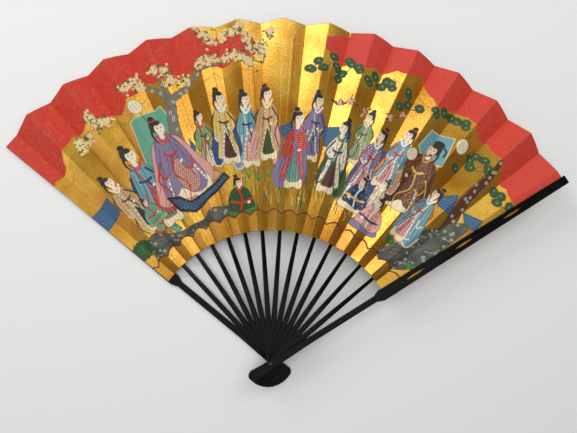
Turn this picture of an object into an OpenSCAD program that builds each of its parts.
// Folding hand fan with a pleated leaf, shown spread open.
// Two lacquered guards and thirteen inner ribs turn on one rivet, and a pleated leaf joins their outer halves.
// The rivet's axis is Z, the leaf lies towards +Y, and the painted side faces +Z.
// The origin is the centre of the rivet's rear head, on the face that the fan lies on.

/* [Stack and spread] */

// Angle between the two guards when the fan is open, degrees
spread_angle = 109; // [80:1:130]

// Height from one rib to the next along the rivet, mm
rib_pitch = 1.2; // [1.1:0.05:1.8]

// Extra height between the rear guard and the first rib, mm
rear_gap = 0.45; // [0.4:0.05:1.5]

// Tilt of a rib's leaf panel when the fan is open, degrees
pleat_tilt = 28; // [10:1:45]

/* [Leaf] */

// Distance from the rivet to the leaf's outer edge, mm
leaf_outer_radius = 310; // [200:1:330]

// Distance from the rivet to the leaf's inner edge, mm
leaf_inner_radius = 117.5; // [90:0.5:150]

// Thickness of the leaf's paper, mm
paper_thickness = 0.3; // [0.2:0.02:0.34]

// Clearance along a panel's loose fold edge, mm
fold_clearance = 0.3; // [0.1:0.05:0.6]

// Clearance around a fold's rounded crease, mm
crease_clearance = 0.05; // [0.02:0.01:0.1]

// Thickness of the wooden slip under a rib panel, mm
slip_thickness = 0.45; // [0.3:0.05:0.5]

// Width of a slip at the leaf's inner edge, mm
slip_width_inner = 3.4; // [2:0.1:4]

// Width of a slip at its outer end, mm
slip_width_outer = 2.2; // [1.5:0.1:4]

// How far a slip stops short of the leaf's outer edge, mm
slip_end_margin = 14; // [5:1:60]

/* [Ribs] */

// Thickness of an inner rib, mm
rib_thickness = 1.0; // [0.6:0.05:1.1]

// Width of a rib at the rivet, mm
rib_width_pivot = 7.5; // [6:0.1:10]

// Width of a rib at the foot of its blade, mm
rib_width_blade = 5.0; // [3:0.1:7]

// Distance from the rivet to the foot of the blade, mm
rib_blade_start = 36; // [20:1:60]

// Width of a rib at the leaf, mm
rib_width_leaf = 3.8; // [2:0.1:5]

// Radial gap between a rib and its slip, mm
rib_slip_gap = 0.3; // [0.1:0.05:0.5]

// Radius of a tail's round end, mm
tail_radius = 4.8; // [4:0.1:6]

// Distance from the rivet to the centre of a tail's round end, mm
tail_centre = 17.4; // [12:0.1:24]

/* [Guards] */

// Distance from the rivet to the front guard's tip, mm
guard_length = 312; // [200:1:335]

// Distance from the rivet to the rear guard's tip, which the leaf hides, mm
rear_guard_length = 309.6; // [200:0.1:335]

// Thickness of a guard, mm
guard_thickness = 2.2; // [1.6:0.1:3]

// Thickness of a guard's neck, mm
guard_neck_thickness = 2.0; // [1.2:0.1:3]

// Width of a guard's neck below its shoulder, mm
guard_neck_width = 5.4; // [4:0.1:8]

// Width of a guard at its shoulder, mm
guard_shoulder_width = 10.2; // [8:0.1:13]

// Width of a guard at its tip, mm
guard_tip_width = 7.4; // [5:0.1:10]

// Distance from the rivet to where the shoulder starts, mm
guard_shoulder_start = 108; // [90:1:114]

// Length of the shoulder's slanted edge, mm
guard_shoulder_length = 6; // [3:0.5:8]

// Distance from the rivet to the middle of the first pierced motif, mm
motif_first = 150; // [135:1:170]

// Distance between the middles of two motifs, mm
motif_spacing = 51.8; // [40:0.2:60]

// Length of a motif's slot, mm
slot_length = 22.5; // [12:0.5:26]

// Width of a motif's slot at its middle, mm
slot_width = 2.1; // [1:0.1:3]

// Radius of a motif's small holes, mm
dot_radius = 0.65; // [0.4:0.05:1]

// Distance from a motif's middle to its nearer small holes, mm
dot_near = 14; // [13:0.5:18]

// Distance from a motif's middle to its farther small holes, mm
dot_far = 18.3; // [16:0.1:22]

/* [Rivet] */

// Radius of the rivet's shank, mm
pin_radius = 1.5; // [1:0.1:2]

// Running clearance between the shank and a turning rib, mm
pin_clearance = 0.05; // [0.02:0.01:0.1]

// Radius of the rivet's heads, mm
head_radius = 2.8; // [2:0.1:3.4]

// Height of a rivet head, mm
head_height = 0.8; // [0.5:0.1:1.5]

// Clearance between the front head and the front guard, mm
head_clearance = 0.12; // [0.08:0.01:0.3]

/* [Hidden] */

$fn = 96;
rib_count = 13;
gap_count = rib_count + 1;
rib_gap = spread_angle / gap_count;
panel_angle = 2 * atan(tan(rib_gap / 4) / cos(pleat_tilt));
cone_angle = atan(tan(panel_angle / 2) * sin(pleat_tilt));
end_edge_angle = rib_gap / 4;
paper_half = paper_thickness / 2;
glue_gap = 0.02;
rear_level = guard_thickness + paper_half + glue_gap;
rib_top = 0.2;
tiny = 0.01;
far = 400;
meet_radius = 250;
end_panel_outer_side = 4.2;
front_panel_outer_side = 3.2;
rib_tip = leaf_inner_radius - rib_slip_gap;
pin_top = level(gap_count) + guard_neck_top() + head_clearance;
gold = [0.80, 0.60, 0.22];
lacquer = [0.03, 0.025, 0.025];
brass = [0.78, 0.60, 0.28];

// Height of a rib's own point on the rivet's axis.
function level(k) = k == 0 ? rear_level : rear_level + rear_gap + k * rib_pitch;

// Direction of a rib seen from above, degrees from +X.
function azimuth(k) = 90 + spread_angle / 2 - k * rib_gap;

// How far a rib's line rises towards the leaf, degrees.
function rise(k) = k == 0 ? 0 : cone_angle;

// Height of the front guard's neck above its own point on the axis.
function guard_neck_top() = guard_neck_thickness - rib_thickness + rib_top;

// Unit vectors of a rib: along it, to its left, and up from it.
function along(k) = [cos(azimuth(k)) * cos(rise(k)), sin(azimuth(k)) * cos(rise(k)), sin(rise(k))];
function leftward(k) = [-sin(azimuth(k)), cos(azimuth(k)), 0];
function upward(k) = cross(along(k), leftward(k));

// Tilt and half angle of the leaf panel that a rib carries.
function tilt(k) = (k == 0 || k == gap_count) ? 0 : pleat_tilt;
function half_angle(k) = (k == 0 || k == gap_count) ? end_edge_angle : panel_angle / 2;

// Direction of a panel's own left-hand side, and of its left and right fold lines.
function side(k) = leftward(k) * cos(tilt(k)) + upward(k) * sin(tilt(k));
function hill(k) = along(k) * cos(half_angle(k)) + side(k) * sin(half_angle(k));
function dale(k) = along(k) * cos(half_angle(k)) - side(k) * sin(half_angle(k));
function apex(k) = [0, 0, level(k)];
function unit(v) = v / norm(v);

// The loose panel k hangs on the right fold of panel k - 1 and reaches the left fold of panel k.
function reach(k) = apex(k) + hill(k) * meet_radius - apex(k - 1);
function across(k) = unit(reach(k) - dale(k - 1) * (reach(k) * dale(k - 1)));
function loose_angle(k) = acos(unit(reach(k)) * dale(k - 1));

// Puts its children on a rib's line: Y runs along the rib and Z up from it.
module on_rib(k) {
  translate(apex(k))
    rotate([0, 0, azimuth(k) - 90])
      rotate([rise(k), 0, 0])
        children();
}

// Puts its children on the plane of a loose panel: Y is its hinged fold and X points into the panel.
module on_loose_panel(k) {
  x = across(k);
  y = dale(k - 1);
  z = cross(x, y);
  o = apex(k - 1);
  multmatrix([
    [x[0], y[0], z[0], o[0]],
    [x[1], y[1], z[1], o[1]],
    [x[2], y[2], z[2], o[2]],
    [0, 0, 0, 1]
  ])
    children();
}

// A flat ring of paper between the leaf's inner and outer edges.
module leaf_ring() {
  difference() {
    translate([0, 0, -paper_half])
      cylinder(r = leaf_outer_radius, h = paper_thickness, $fn = 720);
    translate([0, 0, -paper_half - tiny])
      cylinder(r = leaf_inner_radius, h = paper_thickness + 2 * tiny, $fn = 360);
  }
}

// The part of the ring between two edges, each an angle from Y (positive to the left) and a sideways shift.
module leaf_cut(left_angle, left_shift, right_angle, right_shift) {
  intersection() {
    leaf_ring();
    translate([0, 0, -1])
      linear_extrude(height = 2)
        polygon([
          [left_shift, 0],
          [left_shift - far * sin(left_angle), far * cos(left_angle)],
          [right_shift - far * sin(right_angle), far * cos(right_angle)],
          [right_shift, 0]
        ]);
  }
}

// A straight bar between two widths, from one radius to another.
module tapered_bar(start, end, width_start, width_end, bottom, height) {
  translate([0, 0, bottom])
    linear_extrude(height = height)
      polygon([
        [-width_start / 2, start],
        [width_start / 2, start],
        [width_end / 2, end],
        [-width_end / 2, end]
      ]);
}

// A flat bar with a round tail behind the rivet and a blade ahead of it, given by its widths and distances.
module bar_with_tail(height, blade_width, end_width, end) {
  union() {
    translate([0, -tail_centre, 0])
      cylinder(r = tail_radius, h = height, $fn = 64);
    linear_extrude(height = height)
      polygon([
        [-tail_radius * 0.98, -tail_centre + tail_radius * 0.2],
        [-rib_width_pivot / 2, -2],
        [-rib_width_pivot / 2, 2],
        [-blade_width / 2, rib_blade_start],
        [-end_width / 2, end],
        [end_width / 2, end],
        [blade_width / 2, rib_blade_start],
        [rib_width_pivot / 2, 2],
        [rib_width_pivot / 2, -2],
        [tail_radius * 0.98, -tail_centre + tail_radius * 0.2]
      ]);
  }
}

module rib(k) {
  color(lacquer)
    difference() {
      on_rib(k)
        translate([0, 0, rib_top - rib_thickness])
          bar_with_tail(rib_thickness, rib_width_blade, rib_width_leaf, rib_tip);
      translate([0, 0, level(k) - 3])
        cylinder(r = pin_radius + pin_clearance, h = 6);
    }
}

// Two small holes, a long pointed slot and two more small holes.
module pierced_motif() {
  arc = (slot_length * slot_length / 4 + slot_width * slot_width / 4) / slot_width;
  intersection() {
    translate([arc - slot_width / 2, 0, 0])
      cylinder(r = arc, h = far, center = true, $fn = 360);
    translate([-arc + slot_width / 2, 0, 0])
      cylinder(r = arc, h = far, center = true, $fn = 360);
  }
  for (end = [-1, 1])
    for (away = [dot_near, dot_far])
      translate([0, end * away, 0])
        cylinder(r = dot_radius, h = far, center = true, $fn = 32);
}

// A guard's solid: a thin neck and tail, and a thicker pierced upper part.
module guard_body(neck_bottom, upper_bottom, length) {
  difference() {
    union() {
      translate([0, 0, neck_bottom])
        bar_with_tail(guard_neck_thickness, guard_neck_width, guard_neck_width, guard_shoulder_start + 1);
      translate([0, 0, min(neck_bottom, upper_bottom)])
        linear_extrude(height = abs(upper_bottom - neck_bottom) + guard_neck_thickness)
          polygon([
            [-guard_neck_width / 2, guard_shoulder_start],
            [guard_neck_width / 2, guard_shoulder_start],
            [guard_shoulder_width / 2, guard_shoulder_start + guard_shoulder_length],
            [guard_shoulder_width / 2, leaf_inner_radius - 1],
            [-guard_shoulder_width / 2, leaf_inner_radius - 1],
            [-guard_shoulder_width / 2, guard_shoulder_start + guard_shoulder_length]
          ]);
      tapered_bar(leaf_inner_radius - 3, length, guard_shoulder_width, guard_tip_width,
        upper_bottom, guard_thickness);
    }
    for (n = [0, 1, 2])
      translate([0, motif_first + n * motif_spacing, 0])
        pierced_motif();
  }
}

module rear_guard() {
  color(lacquer)
    difference() {
      translate([0, 0, level(0)])
        rotate([0, 0, azimuth(0) - 90])
          guard_body(-level(0), -level(0), rear_guard_length);
      translate([0, 0, -1])
        cylinder(r = pin_radius, h = 6);
      translate([0, 0, -1])
        cylinder(r = head_radius, h = head_height + 1);
    }
}

module front_guard() {
  color(lacquer)
    difference() {
      on_rib(gap_count)
        guard_body(rib_top - rib_thickness, paper_half + glue_gap, guard_length);
      translate([0, 0, level(gap_count) - 3])
        cylinder(r = pin_radius + pin_clearance, h = 8);
    }
}

module leaf_rear_end() {
  color(gold)
    translate(apex(0))
      rotate([0, 0, azimuth(0) - 90])
        leaf_cut(0, -end_panel_outer_side, -end_edge_angle,
          -(paper_half + crease_clearance) / cos(end_edge_angle));
}

module leaf_front_end() {
  color(gold)
    on_rib(gap_count)
      leaf_cut(end_edge_angle, 0, 0, front_panel_outer_side);
}

module leaf_rib_panel(k) {
  color(gold)
    on_rib(k)
      rotate([0, pleat_tilt, 0])
        union() {
          leaf_cut(panel_angle / 2, 0, -panel_angle / 2,
            -(paper_half + crease_clearance) / cos(panel_angle / 2));
          tapered_bar(leaf_inner_radius, leaf_outer_radius - slip_end_margin,
            slip_width_inner, slip_width_outer, -paper_half - slip_thickness, slip_thickness + tiny);
        }
}

module leaf_free_panel(k) {
  color(gold)
    on_loose_panel(k)
      union() {
        leaf_cut(0, 0, -loose_angle(k), -fold_clearance / cos(loose_angle(k)));
        rotate([-90, 0, 0])
          translate([0, 0, leaf_inner_radius])
            cylinder(r = paper_half, h = leaf_outer_radius - leaf_inner_radius - 0.05, $fn = 24);
      }
}

module rivet_pin() {
  color(brass)
    translate([0, 0, head_height])
      cylinder(r = pin_radius, h = pin_top - head_height);
}

module rivet_rear_head() {
  color(brass)
    cylinder(r = head_radius, h = head_height);
}

module rivet_front_head() {
  color(brass)
    translate([0, 0, pin_top])
      union() {
        cylinder(r = head_radius, h = head_height / 2);
        translate([0, 0, head_height / 2])
          cylinder(r1 = head_radius, r2 = head_radius * 0.55, h = head_height / 2);
      }
}

rear_guard();
front_guard();
rib(1);  // rib_01
rib(2);  // rib_02
rib(3);  // rib_03
rib(4);  // rib_04
rib(5);  // rib_05
rib(6);  // rib_06
rib(7);  // rib_07
rib(8);  // rib_08
rib(9);  // rib_09
rib(10);  // rib_10
rib(11);  // rib_11
rib(12);  // rib_12
rib(13);  // rib_13
leaf_rear_end();
leaf_front_end();
leaf_rib_panel(1);  // leaf_rib_panel_01
leaf_rib_panel(2);  // leaf_rib_panel_02
leaf_rib_panel(3);  // leaf_rib_panel_03
leaf_rib_panel(4);  // leaf_rib_panel_04
leaf_rib_panel(5);  // leaf_rib_panel_05
leaf_rib_panel(6);  // leaf_rib_panel_06
leaf_rib_panel(7);  // leaf_rib_panel_07
leaf_rib_panel(8);  // leaf_rib_panel_08
leaf_rib_panel(9);  // leaf_rib_panel_09
leaf_rib_panel(10);  // leaf_rib_panel_10
leaf_rib_panel(11);  // leaf_rib_panel_11
leaf_rib_panel(12);  // leaf_rib_panel_12
leaf_rib_panel(13);  // leaf_rib_panel_13
leaf_free_panel(1);  // leaf_free_panel_01
leaf_free_panel(2);  // leaf_free_panel_02
leaf_free_panel(3);  // leaf_free_panel_03
leaf_free_panel(4);  // leaf_free_panel_04
leaf_free_panel(5);  // leaf_free_panel_05
leaf_free_panel(6);  // leaf_free_panel_06
leaf_free_panel(7);  // leaf_free_panel_07
leaf_free_panel(8);  // leaf_free_panel_08
leaf_free_panel(9);  // leaf_free_panel_09
leaf_free_panel(10);  // leaf_free_panel_10
leaf_free_panel(11);  // leaf_free_panel_11
leaf_free_panel(12);  // leaf_free_panel_12
leaf_free_panel(13);  // leaf_free_panel_13
leaf_free_panel(14);  // leaf_free_panel_14
rivet_pin();
rivet_rear_head();
rivet_front_head();
